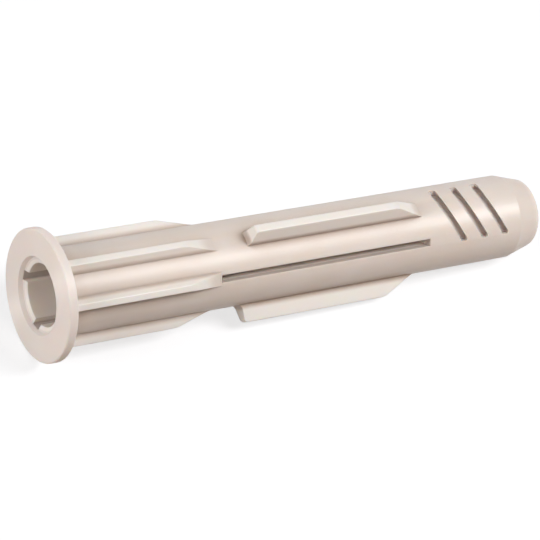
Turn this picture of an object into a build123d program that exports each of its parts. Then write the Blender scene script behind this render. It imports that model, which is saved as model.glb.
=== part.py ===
from build123d import *
import os

# Universal wall plug with a collar, moulded in one piece.
# Lengths are in mm and angles in degrees. The plug's axis is +X and points at the nose. The origin
# is on the axis at the collar's underside, which is the plane of the wall that the plug sits in.
# Each feature is drawn over +Z, and its angle round the axis is counted from the first wing, from
# +Z towards -Y. The finished plug is then turned the way it comes to rest on a floor, on its collar
# and nose.

# The shank goes into the wall. From the collar it is a ribbed neck, a slotted middle and a nose.
shank_diameter = 8.0
neck_length = 15.8
slot_length = 22.9
nose_length = 13.3
nose_taper_length = 2.7
nose_taper_drop = 0.75
nose_end_round = 0.25

# The collar stays outside the wall
collar_overhang = 2.1
collar_thickness = 0.9
collar_edge_round = 0.16

# The mouth is a shallow flared recess, then a sloping ledge, then the screw's bore
neck_wall = 1.1
ledge_width = 0.5
ledge_drop = 0.2
mouth_flare = 0.2
mouth_recess_depth = 0.4

# Key grooves run down the bore from the ledge
key_groove_count = 4
key_groove_width = 1.0
key_groove_first_angle = 66.0
key_groove_end_gap = 0.8

# Past the neck the bore narrows to a pilot hole that runs out through the nose
bore_taper_length = 7.5
pilot_diameter = 2.5
pilot_exit_chamfer = 0.25

# Wings and slots alternate round the plug. The slots are not midway between the wings.
wing_count = 3
slot_angle_from_wing = 47.5
slot_width = 0.7

# Neck ribs stand in line with each wing and with each slot
rib_height = 1.0
rib_root_width = 1.3
rib_crest_width = 0.62
rib_crest_round = 0.1
rib_run_out = 3.4
rib_bend_round = 3.0

# Wings bite into the wall of the hole
wing_gap = 3.4
wing_length = 19.1
wing_height = 1.65
wing_root_width = 1.44
wing_crest_width = 0.78
wing_crest_round = 0.12
wing_front_lean = 0.3
wing_front_round = 0.4
wing_foot_round = 0.7
wing_run_out = 3.3
wing_bend_round = 1.8

# Slanted grooves on the nose, in a set on each of two opposite sides. Each is a flat cut that comes
# nearest to the mouth at its crown and slants away from there.
groove_sets = 2
grooves_in_set = 3
groove_gap = 2.1
groove_pitch = 2.4
groove_width = 0.64
groove_depth = 0.5
groove_slant = 36.5
groove_crown_angle = -16.0
groove_first_end_angle = -31.0
groove_last_end_angle = 54.0
groove_corner_round = 0.2

# Places and radii that follow from the sizes above
shank_radius = shank_diameter / 2
slot_end = neck_length + slot_length
shank_length = slot_end + nose_length
nose_end_radius = shank_radius - nose_taper_drop
collar_radius = shank_radius + collar_overhang
collar_front = -collar_thickness
bore_radius = shank_radius - neck_wall
ledge_radius = bore_radius + ledge_width
mouth_radius = ledge_radius + mouth_flare
ledge_start = collar_front + mouth_recess_depth
bore_start = ledge_start + ledge_drop
pilot_radius = pilot_diameter / 2
wing_start = neck_length + wing_gap
wing_end = wing_start + wing_length
wing_step = 360 / wing_count

# The turn of the first wing from straight up, as the plug lies
lying_turn = 14.0

# How far a rib or wing reaches into the shank, and a cutter past the face that it leaves by
root_depth = 0.8
toe_depth = 0.15
overrun = 1.0


def turned(points):
    """Solid turned about the plug's axis from points given as (x, radius)."""
    return revolve(make_face(Polyline(*points, close=True)), Axis.X)


def turn(shape, angle):
    """The shape turned about the plug's axis, away from +Z."""
    return Rot(angle, 0, 0) * shape


def side_view(points):
    """The side of a rib or wing, from points given as (x, radius)."""
    return make_face(Polyline(*points, close=True))


def round_corner(face, corner, radius):
    """The face with its corner nearest the given point rounded."""
    return fillet(face.vertices().sort_by_distance(corner)[0], radius)


def shank_and_collar():
    """The plain outside: the collar, the round shank and the tapered nose."""
    body = turned(
        [
            (collar_front, 0),
            (collar_front, collar_radius),
            (0, collar_radius),
            (0, shank_radius),
            (shank_length - nose_taper_length, shank_radius),
            (shank_length, nose_end_radius),
            (shank_length, 0),
        ]
    )
    circles = body.edges().filter_by(GeomType.CIRCLE)
    collar_edges = circles.filter_by(lambda edge: abs(edge.radius - collar_radius) < 0.01)
    body = fillet(collar_edges, collar_edge_round)
    nose_edge = body.edges().filter_by(GeomType.CIRCLE).sort_by(Axis.X)[-1]
    return fillet(nose_edge, nose_end_round)


def bore_space():
    """The space inside: mouth recess, ledge, bore, its taper and the pilot hole."""
    return turned(
        [
            (collar_front - overrun, 0),
            (collar_front - overrun, mouth_radius),
            (collar_front, mouth_radius),
            (ledge_start, ledge_radius),
            (bore_start, bore_radius),
            (neck_length, bore_radius),
            (neck_length + bore_taper_length, pilot_radius),
            (shank_length - pilot_exit_chamfer, pilot_radius),
            (shank_length, pilot_radius + pilot_exit_chamfer),
            (shank_length + overrun, pilot_radius + pilot_exit_chamfer),
            (shank_length + overrun, 0),
        ]
    )


def bar_along_axis(start, end, top, width):
    """Straight bar from the axis up to a radius over +Z, lying along the plug."""
    bar = Box(end - start, width, top, align=(Align.MIN, Align.CENTER, Align.MIN))
    return Pos(start, 0, 0) * bar


def key_groove():
    """Space of one key groove. It cuts the ledge and stops before the slots begin."""
    return bar_along_axis(ledge_start, neck_length - key_groove_end_gap, ledge_radius, key_groove_width)


def slot():
    """Space of one slot. It starts where the neck ends and goes through to the bore."""
    return bar_along_axis(neck_length, slot_end, shank_radius + overrun, slot_width)


def beam(start, end, height, root_width, crest_width, crest_round):
    """A rib or wing before it is trimmed: narrower at its rounded crest than at its root."""
    lean = (root_width - crest_width) / 2 / height
    buried_half = root_width / 2 + lean * root_depth
    section = make_face(
        Polyline(
            (-buried_half, shank_radius - root_depth),
            (-crest_width / 2, shank_radius + height),
            (crest_width / 2, shank_radius + height),
            (buried_half, shank_radius - root_depth),
            close=True,
        )
    )
    section = fillet(section.vertices().group_by(Axis.Y)[-1], crest_round)
    return Pos(start, 0, 0) * extrude(Plane.YZ * section, end - start)


def trim(blank, side):
    """The beam cut to its side view."""
    return blank & extrude(Plane.XZ * side, shank_radius, both=True)


def rib():
    """One neck rib. It keeps its height from the collar, then runs down hollow to the shank."""
    start = -collar_thickness / 2
    crest = shank_radius + rib_height
    toe = shank_radius - toe_depth / 2
    bend = (neck_length - rib_run_out, crest)
    heel = (neck_length, toe)
    tail = neck_length + rib_bend_round
    blank = beam(start, tail, rib_height, rib_root_width, rib_crest_width, rib_crest_round)
    side = side_view([(start, 0), (start, crest), bend, heel, (tail, toe), (tail, 0)])
    side = round_corner(side, bend, rib_bend_round)
    side = round_corner(side, heel, rib_bend_round)
    return trim(blank, side)


def wing():
    """One wing: a steep front with a hollow foot, a long level crest and a hollow run down."""
    crest = shank_radius + wing_height
    toe = shank_radius - toe_depth
    foot = (wing_start, toe)
    front_top = (wing_start + wing_front_lean, crest)
    bend = (wing_end - wing_run_out, crest)
    heel = (wing_end, toe)
    nose_side = wing_end + wing_bend_round
    mouth_side = wing_start - wing_foot_round
    blank = beam(
        mouth_side, nose_side, wing_height, wing_root_width, wing_crest_width, wing_crest_round
    )
    side = side_view(
        [(mouth_side, 0), (mouth_side, toe), foot, front_top, bend, heel, (nose_side, toe), (nose_side, 0)]
    )
    side = round_corner(side, foot, wing_foot_round)
    side = round_corner(side, front_top, wing_front_round)
    side = round_corner(side, bend, wing_bend_round)
    side = round_corner(side, heel, wing_bend_round)
    return trim(blank, side)


def nose_groove():
    """Space of the first slanted groove: a flat cut of even depth, closed at both ends."""
    floor = shank_radius - groove_depth
    reach = shank_radius + overrun
    cut = Box(groove_width, 2 * reach, 2 * reach)
    cut = Pos(0, 0, shank_radius) * Rot(0, -groove_slant, 0) * cut
    outline = Polyline((-reach, floor), (-reach, reach), (reach, reach), (reach, floor), close=True)
    arc = groove_last_end_angle - groove_first_end_angle
    ring = revolve(make_face(outline), Axis.X, arc)
    groove = turn(cut, groove_crown_angle) & turn(ring, 90 + groove_first_end_angle)
    lines = groove.edges().filter_by(GeomType.LINE)
    groove = fillet(lines - lines.filter_by(Axis.X), groove_corner_round)
    return Pos(slot_end + groove_gap, 0, 0) * groove


def plug_body():
    """The whole plug."""
    plug = shank_and_collar()
    for index in range(wing_count):
        angle = index * wing_step
        plug += [turn(wing(), angle), turn(rib(), angle), turn(rib(), angle + slot_angle_from_wing)]
    plug -= bore_space()
    for index in range(wing_count):
        plug -= turn(slot(), index * wing_step + slot_angle_from_wing)
    for index in range(key_groove_count):
        plug -= turn(key_groove(), key_groove_first_angle + index * 360 / key_groove_count)
    for side in range(groove_sets):
        for index in range(grooves_in_set):
            groove = Pos(index * groove_pitch, 0, 0) * nose_groove()
            plug -= turn(groove, side * 360 / groove_sets)
    return plug


pieces = turn(plug_body(), lying_turn).solids()
if len(pieces) != 1:
    raise ValueError(f"the plug is one moulded piece, but {len(pieces)} solids were made")
os.makedirs("parts", exist_ok=True)
export_step(pieces[0], "parts/plug_body.step")
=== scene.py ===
"""Universal wall plug, moulded in cream nylon: its finish, light and camera.

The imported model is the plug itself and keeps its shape. This file gives it the finish of moulded
nylon and stands it in a plain studio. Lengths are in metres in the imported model's frame: the axis
is +X from the mouth to the nose, the origin is on the axis at the collar's underside, and +Z is up.
"""

import math

import bpy
import numpy as np
from bpy.props import FloatProperty, FloatVectorProperty, PointerProperty
from mathutils import Matrix, Vector

bl_info = {
    "name": "Wall plug",
    "version": (1, 0, 0),
    "blender": (4, 5, 0),
    "location": "View3D > Sidebar > Wall plug",
    "description": "Gives the wall plug its moulded nylon finish and its studio",
    "category": "Object",
}

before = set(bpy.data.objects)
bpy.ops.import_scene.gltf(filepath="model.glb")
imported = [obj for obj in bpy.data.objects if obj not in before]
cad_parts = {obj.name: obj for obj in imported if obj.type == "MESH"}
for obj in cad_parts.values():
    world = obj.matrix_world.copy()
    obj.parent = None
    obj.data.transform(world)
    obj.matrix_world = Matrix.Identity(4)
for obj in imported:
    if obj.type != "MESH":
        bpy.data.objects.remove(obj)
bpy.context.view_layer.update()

MM = 0.001
NODE = "plug_body"

# Where the collar's edge and the nose's shoulder touch the floor that the plug lies on
COLLAR_RADIUS = 6.1 * MM
COLLAR_CONTACT_X = -0.2 * MM
SHANK_RADIUS = 4.0 * MM
NOSE_CONTACT_X = 49.3 * MM


# settings

class NylonSettings(bpy.types.PropertyGroup):
    """Colours and surface of the moulded nylon."""

    colour: FloatVectorProperty(
        name="Nylon colour",
        description="Colour of the outer skin",
        subtype="COLOR",
        size=3,
        min=0.0,
        max=1.0,
        default=(0.805, 0.71, 0.645),
    )
    # Painted light: the ribs and wings are painted paler than the shank, standing in for light that
    # comes through the thin nylon
    thin_light_colour: FloatVectorProperty(
        name="Thin colour",
        description="Paler colour of the ribs and wings, where light comes through",
        subtype="COLOR",
        size=3,
        min=0.0,
        max=1.0,
        default=(0.94, 0.865, 0.805),
    )
    collar_colour: FloatVectorProperty(
        name="Collar colour",
        description="Colour of the collar, whose mould was turned on a lathe",
        subtype="COLOR",
        size=3,
        min=0.0,
        max=1.0,
        default=(0.90, 0.805, 0.75),
    )
    # Painted shade: the slot walls just under the skin are painted browner and darker
    slot_shade_colour: FloatVectorProperty(
        name="Slot colour",
        description="Browner colour just under the skin in the slots",
        subtype="COLOR",
        size=3,
        min=0.0,
        max=1.0,
        default=(0.62, 0.54, 0.49),
    )
    # Painted shade: the nose's grooves are painted browner and darker
    groove_shade_colour: FloatVectorProperty(
        name="Groove colour",
        description="Browner colour of the slanted grooves on the nose",
        subtype="COLOR",
        size=3,
        min=0.0,
        max=1.0,
        default=(0.72, 0.645, 0.60),
    )
    # Painted light: deep in the slots and on the bore's wall the colour is painted paler than the
    # skin, which lightens these shaded places
    bore_light_colour: FloatVectorProperty(
        name="Bore colour",
        description="Colour deep in the slots and on the wall of the bore",
        subtype="COLOR",
        size=3,
        min=0.0,
        max=1.0,
        default=(0.96, 0.87, 0.80),
    )
    shade_colour: FloatVectorProperty(
        name="Root shade",
        description="Multiplies the shank's colour beside the ribs and wings",
        subtype="COLOR",
        size=3,
        min=0.0,
        max=1.0,
        default=(0.57, 0.48, 0.42),
    )
    shade_width: FloatProperty(
        name="Root shade width",
        description="How far the root shade reaches from a rib or wing",
        subtype="DISTANCE",
        unit="LENGTH",
        min=0.00001,
        max=0.005,
        default=0.0026,
    )
    # Painted shade: a fine dark line painted into the inner corners, where shade falls
    corner_shade_colour: FloatVectorProperty(
        name="Corner line",
        description="Multiplies the colour in the inner corners themselves",
        subtype="COLOR",
        size=3,
        min=0.0,
        max=1.0,
        default=(0.54, 0.46, 0.41),
    )
    corner_shade_width: FloatProperty(
        name="Corner line width",
        description="How far the corner line reaches",
        subtype="DISTANCE",
        unit="LENGTH",
        min=0.00001,
        max=0.002,
        default=0.0006,
    )
    edge_round: FloatProperty(
        name="Edge round",
        description="Radius by which edges and corners are rounded in the light",
        subtype="DISTANCE",
        unit="LENGTH",
        min=0.0,
        max=0.001,
        default=0.00006,
    )
    roughness: FloatProperty(
        name="Roughness",
        description="Roughness of the satin skin",
        subtype="FACTOR",
        min=0.0,
        max=1.0,
        default=0.38,
    )
    grain: FloatProperty(
        name="Grain size",
        description="Size of the fine moulded texture",
        subtype="DISTANCE",
        unit="LENGTH",
        min=0.00001,
        max=0.001,
        default=0.00022,
    )
    grain_depth: FloatProperty(
        name="Grain depth",
        description="Depth of the fine moulded texture",
        subtype="DISTANCE",
        unit="LENGTH",
        min=0.0,
        max=0.001,
        default=0.00002,
    )
    light_share: FloatProperty(
        name="Light let in",
        description="Share of the light that goes into the nylon and comes out again nearby",
        subtype="FACTOR",
        min=0.0,
        max=1.0,
        default=0.4,
    )
    light_depth: FloatProperty(
        name="Light depth",
        description="How far red light goes in the nylon",
        subtype="DISTANCE",
        unit="LENGTH",
        min=0.0,
        max=0.01,
        default=0.0008,
    )


class StudioSettings(bpy.types.PropertyGroup):
    """Camera, floor and light."""

    azimuth: FloatProperty(
        name="Camera azimuth",
        description="Angle of the camera round the plug",
        subtype="ANGLE",
        default=math.radians(-41.93),
    )
    elevation: FloatProperty(
        name="Camera elevation",
        description="Angle of the camera above the horizon",
        subtype="ANGLE",
        default=math.radians(39.98),
    )
    roll: FloatProperty(
        name="Camera roll",
        description="Turn of the camera about its own axis",
        subtype="ANGLE",
        default=math.radians(-20.0),
    )
    distance: FloatProperty(
        name="Camera distance",
        description="From the camera to the point that it looks at",
        subtype="DISTANCE",
        unit="LENGTH",
        default=0.280,
    )
    lens: FloatProperty(
        name="Lens",
        description="Focal length in millimetres",
        subtype="DISTANCE_CAMERA",
        default=202.1,
    )
    aim: FloatVectorProperty(
        name="Aim",
        description="Point that the camera looks at, and that the lamps stand round",
        subtype="TRANSLATION",
        unit="LENGTH",
        size=3,
        default=(0.02322, -0.000893, -0.000949),
    )
    floor_colour: FloatVectorProperty(
        name="Floor colour",
        description="Colour of the light that the floor throws back on the plug",
        subtype="COLOR",
        size=3,
        min=0.0,
        max=1.0,
        default=(0.40, 0.33, 0.28),
    )
    floor_seen_colour: FloatVectorProperty(
        name="Floor colour as seen",
        description="Colour of the floor where the camera sees it, under its added white",
        subtype="COLOR",
        size=3,
        min=0.0,
        max=1.0,
        default=(0.36, 0.36, 0.37),
    )
    floor_white: FloatProperty(
        name="Floor white",
        description="White added to the floor near the plug, where the camera sees it",
        subtype="FACTOR",
        min=0.0,
        max=1.0,
        default=0.72,
    )
    mouth_power: FloatProperty(
        name="Mouth lamp",
        description="Power of the soft lamp in front of the mouth",
        subtype="POWER",
        unit="POWER",
        default=0.72,
    )
    top_power: FloatProperty(
        name="Top lamp",
        description="Power of the weak lamp over the plug",
        subtype="POWER",
        unit="POWER",
        default=0.05,
    )
    back_power: FloatProperty(
        name="Back lamp",
        description="Power of the soft lamp behind the plug",
        subtype="POWER",
        unit="POWER",
        default=0.24,
    )
    nose_power: FloatProperty(
        name="Nose lamp",
        description="Power of the narrow lamp past the nose, which draws the long highlight",
        subtype="POWER",
        unit="POWER",
        default=1.05,
    )
    fill: FloatProperty(
        name="Fill light",
        description="Strength of the even light from all round",
        min=0.0,
        max=2.0,
        default=0.015,
    )
    fill_colour: FloatVectorProperty(
        name="Fill colour",
        description="Colour of the even light from all round",
        subtype="COLOR",
        size=3,
        min=0.0,
        max=1.0,
        default=(1.0, 0.985, 0.965),
    )


# node helpers: where one takes a value, this is another node's socket or a plain value

def feed(tree, socket, value):
    """Links the value to a socket, or sets the socket to it."""
    if isinstance(value, bpy.types.NodeSocket):
        tree.links.new(value, socket)
    else:
        socket.default_value = value


def split(tree, vector):
    """The X, Y and Z of a vector."""
    made = tree.nodes.new("ShaderNodeSeparateXYZ")
    feed(tree, made.inputs[0], vector)
    return made.outputs


def math_node(tree, operation, *values, clamp=False):
    """The values put through a maths operation, and held between 0 and 1 with clamp."""
    made = tree.nodes.new("ShaderNodeMath")
    made.operation = operation
    made.use_clamp = clamp
    for socket, value in zip(made.inputs, values):
        feed(tree, socket, value)
    return made.outputs[0]


def weighed(tree, first, second, share):
    """first times that share, plus second times the rest."""
    return math_node(
        tree,
        "ADD",
        math_node(tree, "MULTIPLY", first, share),
        math_node(tree, "MULTIPLY", second, 1.0 - share),
    )


def ramp(tree, value, span, low=0.0):
    """Smooth change from low to 1 as value goes from span's first number to its second."""
    made = tree.nodes.new("ShaderNodeMapRange")
    made.interpolation_type = "SMOOTHSTEP"
    ends = {"Value": value, "From Min": span[0], "From Max": span[1], "To Min": low, "To Max": 1.0}
    for name, end in ends.items():
        feed(tree, made.inputs[name], end)
    return made.outputs["Result"]


def noise(tree, vector, cycles, detail):
    """Noise of that many cycles a metre, with detail as the number of its finer layers."""
    made = tree.nodes.new("ShaderNodeTexNoise")
    feed(tree, made.inputs["Vector"], vector)
    feed(tree, made.inputs["Scale"], cycles)
    feed(tree, made.inputs["Detail"], detail)
    return made.outputs["Fac"]


def painted(tree, colour, paint, mask, blend="MIX"):
    """colour, covered or multiplied by a plain paint where the mask is 1."""
    made = tree.nodes.new("ShaderNodeMix")
    made.data_type = "RGBA"
    made.blend_type = blend
    feed(tree, made.inputs["A"], colour)
    feed(tree, made.inputs["B"], (*paint, 1.0))
    feed(tree, made.inputs["Factor"], mask)
    return made.outputs["Result"]


# nylon

# Where each mask is 0 and where it is 1. The first three are depths below the shank's outer skin,
# and the third of them is outside it. The others are places along X.
BELOW_SKIN = (0.02 * MM, 0.06 * MM)
IN_BORE = (0.52 * MM, 0.85 * MM)
STANDING_OUT = (-0.10 * MM, -0.60 * MM)
ON_COLLAR = (0.05 * MM, -0.10 * MM)
BEHIND_MOUTH = (-0.50 * MM, -0.44 * MM)
PAST_NECK = (14.0 * MM, 18.0 * MM)
PAST_SLOTS = (38.8 * MM, 39.6 * MM)
BEFORE_TAPER = (49.1 * MM, 49.0 * MM)
BEFORE_END = (51.9 * MM, 51.8 * MM)

# Share of the light from all round that a spot gets, where its shade begins and where it is full,
# and the strength of the root shade on the neck
SHADE_LIGHT = (0.98, 0.74)
CORNER_LIGHT = (0.90, 0.60)
NECK_SHADE = 0.5

# Cycles a metre of the noise that is drawn out along the plug, and of the slow noise
FLOW_CYCLES = (90.0, 900.0, 900.0)
CLOUD_CYCLES = 160.0

# The slow change of tone: the share of red, green and blue that is left where it is warmest, the
# share of the slow noise in it, and the noise where it begins and ends
WARMEST = (0.965, 0.945, 0.915)
CLOUD_SHARE = 0.6
TONE_NOISE = (0.35, 0.65)

# The skin: its streaks of roughness, the share of the grain in its texture, and the texture's
# strength
STREAKS = 0.10
GRAIN_SHARE = 0.7
BUMP_STRENGTH = 0.35

# The collar's fine turning marks: how much rougher and glossier they make it, and the quarter turn
# that lets them spread a highlight outwards from the axis
TURNED_ROUGHNESS = 0.27
TURNED_GLOSS = 0.5
QUARTER_TURN = 0.25

# Nylon itself: how it bends light, its plain gloss, and how far red, green and blue light go in it
NYLON_IOR = 1.53
PLAIN_GLOSS = 0.5
LIGHT_SPREAD = (1.0, 0.65, 0.40)


def moulded_skin_group():
    """Texture and masks of a moulded plastic skin round the X axis.

    Grain is fine noise, Flow is noise drawn out along the plug and Cloud is slow noise. The masks
    come from a spot's depth, which is the skin's radius less the spot's distance from the axis.
    Cut is 1 on the walls of a slot or groove, from just below the skin to near the bore, and from
    the mouth's recess to the nose's taper. Bore grows to 1 towards the bore, and Thin grows to 1 on
    what stands out from the skin."""
    tree = bpy.data.node_groups.new("moulded skin", "ShaderNodeTree")
    face = tree.interface
    face.new_socket("Vector", in_out="INPUT", socket_type="NodeSocketVector")
    for name, value in (("Grain Size", 0.2 * MM), ("Skin Radius", SHANK_RADIUS)):
        face.new_socket(name, in_out="INPUT", socket_type="NodeSocketFloat").default_value = value
    for name in ("Grain", "Flow", "Cloud", "Cut", "Bore", "Thin"):
        face.new_socket(name, in_out="OUTPUT", socket_type="NodeSocketFloat")
    given = tree.nodes.new("NodeGroupInput").outputs
    results = tree.nodes.new("NodeGroupOutput").inputs
    vector = given["Vector"]

    x, y, z = split(tree, vector)
    y_square = math_node(tree, "MULTIPLY", y, y)
    z_square = math_node(tree, "MULTIPLY", z, z)
    radius = math_node(tree, "SQRT", math_node(tree, "ADD", y_square, z_square))
    depth = math_node(tree, "SUBTRACT", given["Skin Radius"], radius)
    in_bore = ramp(tree, depth, IN_BORE)
    short_of_bore = math_node(tree, "SUBTRACT", 1.0, in_bore)
    cut = math_node(tree, "MULTIPLY", ramp(tree, depth, BELOW_SKIN), short_of_bore)
    cut = math_node(tree, "MULTIPLY", cut, ramp(tree, x, BEFORE_TAPER))
    cut = math_node(tree, "MULTIPLY", cut, ramp(tree, x, BEHIND_MOUTH))
    feed(tree, results["Cut"], cut)
    feed(tree, results["Bore"], math_node(tree, "MULTIPLY", in_bore, ramp(tree, x, BEFORE_END)))
    feed(tree, results["Thin"], ramp(tree, depth, STANDING_OUT))

    grain_cycles = math_node(tree, "DIVIDE", 1.0, given["Grain Size"])
    feed(tree, results["Grain"], noise(tree, vector, grain_cycles, detail=3.0))
    drawn = tree.nodes.new("ShaderNodeMapping")
    feed(tree, drawn.inputs["Vector"], vector)
    feed(tree, drawn.inputs["Scale"], FLOW_CYCLES)
    feed(tree, results["Flow"], noise(tree, drawn.outputs["Vector"], 1.0, detail=3.0))
    feed(tree, results["Cloud"], noise(tree, vector, CLOUD_CYCLES, detail=2.0))
    return tree


def hidden(tree, width, light):
    """1 where walls within that width shut in the surface, and 0 where it lies open.

    light is the share of the light from all round at which this begins, and at which it is 1."""
    made = tree.nodes.new("ShaderNodeAmbientOcclusion")
    made.samples = 8
    made.only_local = True
    feed(tree, made.inputs["Distance"], width)
    return ramp(tree, made.outputs["AO"], light)


def nylon_colour(tree, skin, x, on_collar, settings):
    """Colour of the nylon from the skin group's outputs, the place along X and the collar's mask.

    It is a slow change of tone with the colours of the plug's parts painted over it. Painted light
    makes the ribs, wings and bore paler, and painted shade makes the slots and grooves browner.
    A wide painted shade beside the ribs and wings and a fine painted shade in the inner corners
    then darken it, but not in the slots and the bore."""
    warm = [channel * share for channel, share in zip(settings.colour, WARMEST)]
    mottle = weighed(tree, skin["Cloud"], skin["Flow"], CLOUD_SHARE)
    colour = painted(tree, (*settings.colour, 1.0), warm, ramp(tree, mottle, TONE_NOISE))
    thin = math_node(tree, "SUBTRACT", skin["Thin"], on_collar, clamp=True)
    in_grooves = math_node(tree, "MULTIPLY", skin["Cut"], ramp(tree, x, PAST_SLOTS))
    # Painted light: the ribs, wings and bore are painted paler. Painted shade: the slots and
    # grooves are painted browner.
    colour = painted(tree, colour, settings.thin_light_colour, thin)
    colour = painted(tree, colour, settings.collar_colour, on_collar)
    colour = painted(tree, colour, settings.bore_light_colour, skin["Bore"])
    colour = painted(tree, colour, settings.slot_shade_colour, skin["Cut"])
    colour = painted(tree, colour, settings.groove_shade_colour, in_grooves)

    inside = math_node(tree, "ADD", skin["Cut"], skin["Bore"], clamp=True)
    outside = math_node(tree, "SUBTRACT", 1.0, inside)
    proud = math_node(tree, "ADD", thin, on_collar)
    shank = math_node(tree, "SUBTRACT", outside, proud, clamp=True)
    # Painted shade beside the ribs and wings, where walls shut in the shank, weaker on the neck
    near_walls = hidden(tree, settings.shade_width, SHADE_LIGHT)
    near_walls = math_node(tree, "MULTIPLY", near_walls, shank)
    shade = math_node(tree, "MULTIPLY", near_walls, ramp(tree, x, PAST_NECK, NECK_SHADE))
    colour = painted(tree, colour, settings.shade_colour, shade, "MULTIPLY")
    # Painted shade: a fine dark line in the inner corners
    in_corners = hidden(tree, settings.corner_shade_width, CORNER_LIGHT)
    line = math_node(tree, "MULTIPLY", in_corners, outside)
    return painted(tree, colour, settings.corner_shade_colour, line, "MULTIPLY")


def nylon_gloss(tree, shader, flow, on_collar, settings):
    """Satin with faint streaks. On the collar, turning marks draw the highlight out into fans."""
    streaks = math_node(tree, "MULTIPLY", flow, STREAKS)
    rough = math_node(tree, "ADD", settings.roughness - STREAKS / 2, streaks)
    turned = math_node(tree, "MULTIPLY", on_collar, TURNED_ROUGHNESS)
    feed(tree, shader.inputs["Roughness"], math_node(tree, "ADD", rough, turned))
    round_axis = tree.nodes.new("ShaderNodeTangent")
    round_axis.direction_type = "RADIAL"
    round_axis.axis = "X"
    feed(tree, shader.inputs["Tangent"], round_axis.outputs["Tangent"])
    feed(tree, shader.inputs["Anisotropic"], on_collar)
    feed(tree, shader.inputs["Anisotropic Rotation"], QUARTER_TURN)
    gloss = math_node(tree, "MULTIPLY", on_collar, TURNED_GLOSS)
    gloss = math_node(tree, "ADD", gloss, PLAIN_GLOSS)
    feed(tree, shader.inputs["Specular IOR Level"], gloss)


def nylon_relief(tree, skin, settings):
    """Normal of the skin: the fine texture over edges and corners that are rounded in the light."""
    edges = tree.nodes.new("ShaderNodeBevel")
    edges.samples = 6
    feed(tree, edges.inputs["Radius"], settings.edge_round)
    bump = tree.nodes.new("ShaderNodeBump")
    feed(tree, bump.inputs["Strength"], BUMP_STRENGTH)
    feed(tree, bump.inputs["Distance"], settings.grain_depth)
    feed(tree, bump.inputs["Height"], weighed(tree, skin["Grain"], skin["Flow"], GRAIN_SHARE))
    feed(tree, bump.inputs["Normal"], edges.outputs["Normal"])
    return bump.outputs["Normal"]


def nylon_material(settings):
    """Cream moulded nylon, satin and slightly see-through, with painted light and painted shade."""
    made = bpy.data.materials.new("cream nylon")
    made.use_nodes = True
    tree = made.node_tree
    shader = tree.nodes["Principled BSDF"]
    spot = tree.nodes.new("ShaderNodeTexCoord").outputs["Object"]
    group = tree.nodes.new("ShaderNodeGroup")
    group.node_tree = moulded_skin_group()
    feed(tree, group.inputs["Vector"], spot)
    feed(tree, group.inputs["Grain Size"], settings.grain)
    feed(tree, group.inputs["Skin Radius"], SHANK_RADIUS)
    skin = group.outputs
    x = split(tree, spot)["X"]
    on_collar = ramp(tree, x, ON_COLLAR)

    feed(tree, shader.inputs["Base Color"], nylon_colour(tree, skin, x, on_collar, settings))
    nylon_gloss(tree, shader, skin["Flow"], on_collar, settings)
    feed(tree, shader.inputs["IOR"], NYLON_IOR)
    feed(tree, shader.inputs["Subsurface Weight"], settings.light_share)
    feed(tree, shader.inputs["Subsurface Radius"], LIGHT_SPREAD)
    feed(tree, shader.inputs["Subsurface Scale"], settings.light_depth)
    feed(tree, shader.inputs["Normal"], nylon_relief(tree, skin, settings))
    return made


class PLUG_OT_nylon(bpy.types.Operator):
    """Gives the plug its cream nylon"""

    bl_idname = "wall_plug.nylon"
    bl_label = "Nylon finish"

    def execute(self, context):
        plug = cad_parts.get(NODE)
        if plug is None:
            raise RuntimeError("the packed model has no node named " + NODE)
        material = nylon_material(context.scene.nylon_settings)
        for slot in plug.material_slots:
            slot.material = material
        return {"FINISHED"}


# studio

FLOOR_HALF_SIZE = 1.5
WHITE = (1.0, 1.0, 1.0, 1.0)

# Distances from the origin at which the floor's added white begins to grow and at which it is full
WHITE_GROWS = (0.08, 0.32)

# The lamps: the setting that holds a lamp's power, its length along the plug and its width, the
# share of its direction along -X, and the angle of the rest from +Z towards -Y, in degrees
LAMPS = {
    "mouth lamp": ("mouth_power", (0.16, 0.16), 0.95, 10.0),
    "top lamp": ("top_power", (0.16, 0.16), 0.3, -6.0),
    "back lamp": ("back_power", (0.20, 0.16), 0.1, -78.0),
    "nose lamp": ("nose_power", (0.24, 0.12), -0.45, 28.0),
}
LAMP_DISTANCE = 0.35


def floor_height(x):
    """Height of the floor under x, on the line through both places where the plug touches it."""
    rise = (COLLAR_RADIUS - SHANK_RADIUS) / (NOSE_CONTACT_X - COLLAR_CONTACT_X)
    return -COLLAR_RADIUS + rise * (x - COLLAR_CONTACT_X)


def floor_mesh():
    """Flat square floor round the plug's middle: a 2 by 2 grid of corners, each at floor_height."""
    middle = NOSE_CONTACT_X / 2
    sides = [-FLOOR_HALF_SIZE, FLOOR_HALF_SIZE]
    u, v = np.meshgrid(sides, sides, indexing="ij")
    corners = np.stack([u + middle, v, floor_height(u + middle)], axis=-1).reshape(-1, 3)
    mesh = bpy.data.meshes.new("floor")
    mesh.from_pydata(corners.tolist(), [], [(0, 2, 3, 1)])
    mesh.update()
    return mesh


def seen_directly(tree):
    """1 for what the camera sees, also in gloss or through glass, and 0 for light on the plug."""
    path = tree.nodes.new("ShaderNodeLightPath").outputs
    direct = math_node(tree, "ADD", path["Is Camera Ray"], path["Is Glossy Ray"])
    return math_node(tree, "ADD", direct, path["Is Transmission Ray"], clamp=True)


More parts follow.
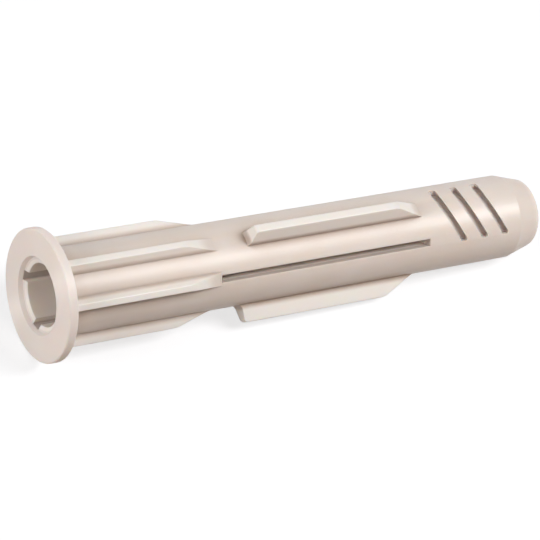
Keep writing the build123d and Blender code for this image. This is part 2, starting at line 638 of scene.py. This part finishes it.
def floor_material(settings):
    """Pale floor: white to the camera, still shaded where the plug keeps the light off it.

    Near the plug part of the white is the lamps' own light, so that a shadow shows there."""
    made = bpy.data.materials.new("pale floor")
    made.use_nodes = True
    tree = made.node_tree
    shader = tree.nodes["Principled BSDF"]
    seen = seen_directly(tree)
    colour = painted(tree, (*settings.floor_colour, 1.0), settings.floor_seen_colour, seen)
    feed(tree, shader.inputs["Base Color"], colour)
    feed(tree, shader.inputs["Roughness"], 1.0)
    feed(tree, shader.inputs["Specular IOR Level"], 0.0)
    feed(tree, shader.inputs["Emission Color"], WHITE)
    far = tree.nodes.new("ShaderNodeVectorMath")
    far.operation = "LENGTH"
    feed(tree, far.inputs[0], tree.nodes.new("ShaderNodeTexCoord").outputs["Object"])
    white = ramp(tree, far.outputs["Value"], WHITE_GROWS, settings.floor_white)
    feed(tree, shader.inputs["Emission Strength"], math_node(tree, "MULTIPLY", seen, white))
    return made


def even_light(tree, colour, strength):
    """Light of one colour from all round."""
    made = tree.nodes.new("ShaderNodeBackground")
    feed(tree, made.inputs["Color"], colour)
    feed(tree, made.inputs["Strength"], strength)
    return made.outputs[0]


def white_background(world, settings):
    """The fill light all round, seen as white by the camera and in reflections."""
    world.use_nodes = True
    tree = world.node_tree
    tree.nodes.clear()
    out = tree.nodes.new("ShaderNodeOutputWorld")
    mix = tree.nodes.new("ShaderNodeMixShader")
    feed(tree, mix.inputs[0], seen_directly(tree))
    feed(tree, mix.inputs[1], even_light(tree, (*settings.fill_colour, 1.0), settings.fill))
    feed(tree, mix.inputs[2], even_light(tree, WHITE, 1.0))
    feed(tree, out.inputs["Surface"], mix.outputs[0])


def camera_axes(azimuth, elevation, roll):
    """Right, up and back unit vectors of the camera.

    back is turned by the azimuth from -Y towards +X and raised by the elevation. right is level and
    up is square to both, and the roll then turns these two about back."""
    reach = math.cos(elevation)
    back = Vector((math.sin(azimuth) * reach, -math.cos(azimuth) * reach, math.sin(elevation)))
    level = Vector((math.cos(azimuth), math.sin(azimuth), 0.0))
    above = back.cross(level)
    right = math.cos(roll) * level - math.sin(roll) * above
    up = math.sin(roll) * level + math.cos(roll) * above
    return right, up, back


def put(obj, location, right, up, back):
    """Puts a lamp or the camera at a place, looking against back."""
    turn = Matrix((right, up, back)).transposed().to_4x4()
    obj.matrix_world = Matrix.Translation(location) @ turn


def towards_lamp(share, angle):
    """Direction with that share along -X, and the rest turned by the angle from +Z towards -Y."""
    rest = math.sqrt(1 - share * share)
    turn = math.radians(angle)
    return Vector((-share, -rest * math.sin(turn), rest * math.cos(turn)))


def soft_lamp(name, power, size, aim, back):
    """Lamp at LAMP_DISTANCE from aim in the direction back, with its length along the plug."""
    data = bpy.data.lights.new(name, "AREA")
    data.energy = power
    data.shape = "RECTANGLE"
    data.size, data.size_y = size
    lamp = bpy.data.objects.new(name, data)
    bpy.context.scene.collection.objects.link(lamp)
    across = back.cross(Vector((1.0, 0.0, 0.0))).normalized()
    put(lamp, aim + back * LAMP_DISTANCE, across.cross(back), across, back)


def plug_camera(scene, aim, settings):
    """The scene's camera, which looks at aim."""
    right, up, back = camera_axes(settings.azimuth, settings.elevation, settings.roll)
    data = bpy.data.cameras.new("camera")
    data.sensor_width = 36.0
    data.lens = settings.lens
    data.clip_start = 0.01
    camera = bpy.data.objects.new("camera", data)
    scene.collection.objects.link(camera)
    put(camera, aim + back * settings.distance, right, up, back)
    scene.camera = camera


class PLUG_OT_studio(bpy.types.Operator):
    """Sets up the floor, the white background, the camera and the lamps"""

    bl_idname = "wall_plug.studio"
    bl_label = "Studio"

    def execute(self, context):
        settings = context.scene.studio_settings
        floor = bpy.data.objects.new("floor", floor_mesh())
        floor.data.materials.append(floor_material(settings))
        context.scene.collection.objects.link(floor)

        world = bpy.data.worlds.new("studio")
        context.scene.world = world
        white_background(world, settings)

        aim = Vector(settings.aim)
        plug_camera(context.scene, aim, settings)
        for name, (power, size, share, angle) in LAMPS.items():
            soft_lamp(name, getattr(settings, power), size, aim, towards_lamp(share, angle))

        context.scene.view_settings.view_transform = "Standard"
        return {"FINISHED"}


class PLUG_PT_panel(bpy.types.Panel):
    """The plug's settings and steps"""

    bl_idname = "PLUG_PT_panel"
    bl_label = "Wall plug"
    bl_space_type = "VIEW_3D"
    bl_region_type = "UI"
    bl_category = "Wall plug"

    def draw(self, context):
        for step, group in STEPS:
            box = self.layout.box()
            settings = getattr(context.scene, group)
            for key in settings.bl_rna.properties.keys():
                if key not in ("rna_type", "name"):
                    box.prop(settings, key)
            box.operator(step.bl_idname)


STEPS = ((PLUG_OT_nylon, "nylon_settings"), (PLUG_OT_studio, "studio_settings"))
CLASSES = (NylonSettings, StudioSettings, PLUG_OT_nylon, PLUG_OT_studio, PLUG_PT_panel)


def register():
    for kind in CLASSES:
        bpy.utils.register_class(kind)
    bpy.types.Scene.nylon_settings = PointerProperty(type=NylonSettings)
    bpy.types.Scene.studio_settings = PointerProperty(type=StudioSettings)


def unregister():
    del bpy.types.Scene.studio_settings
    del bpy.types.Scene.nylon_settings
    for kind in reversed(CLASSES):
        bpy.utils.unregister_class(kind)


def main():
    register()
    bpy.ops.wall_plug.nylon()
    bpy.ops.wall_plug.studio()


if __name__ == "__main__":
    main()
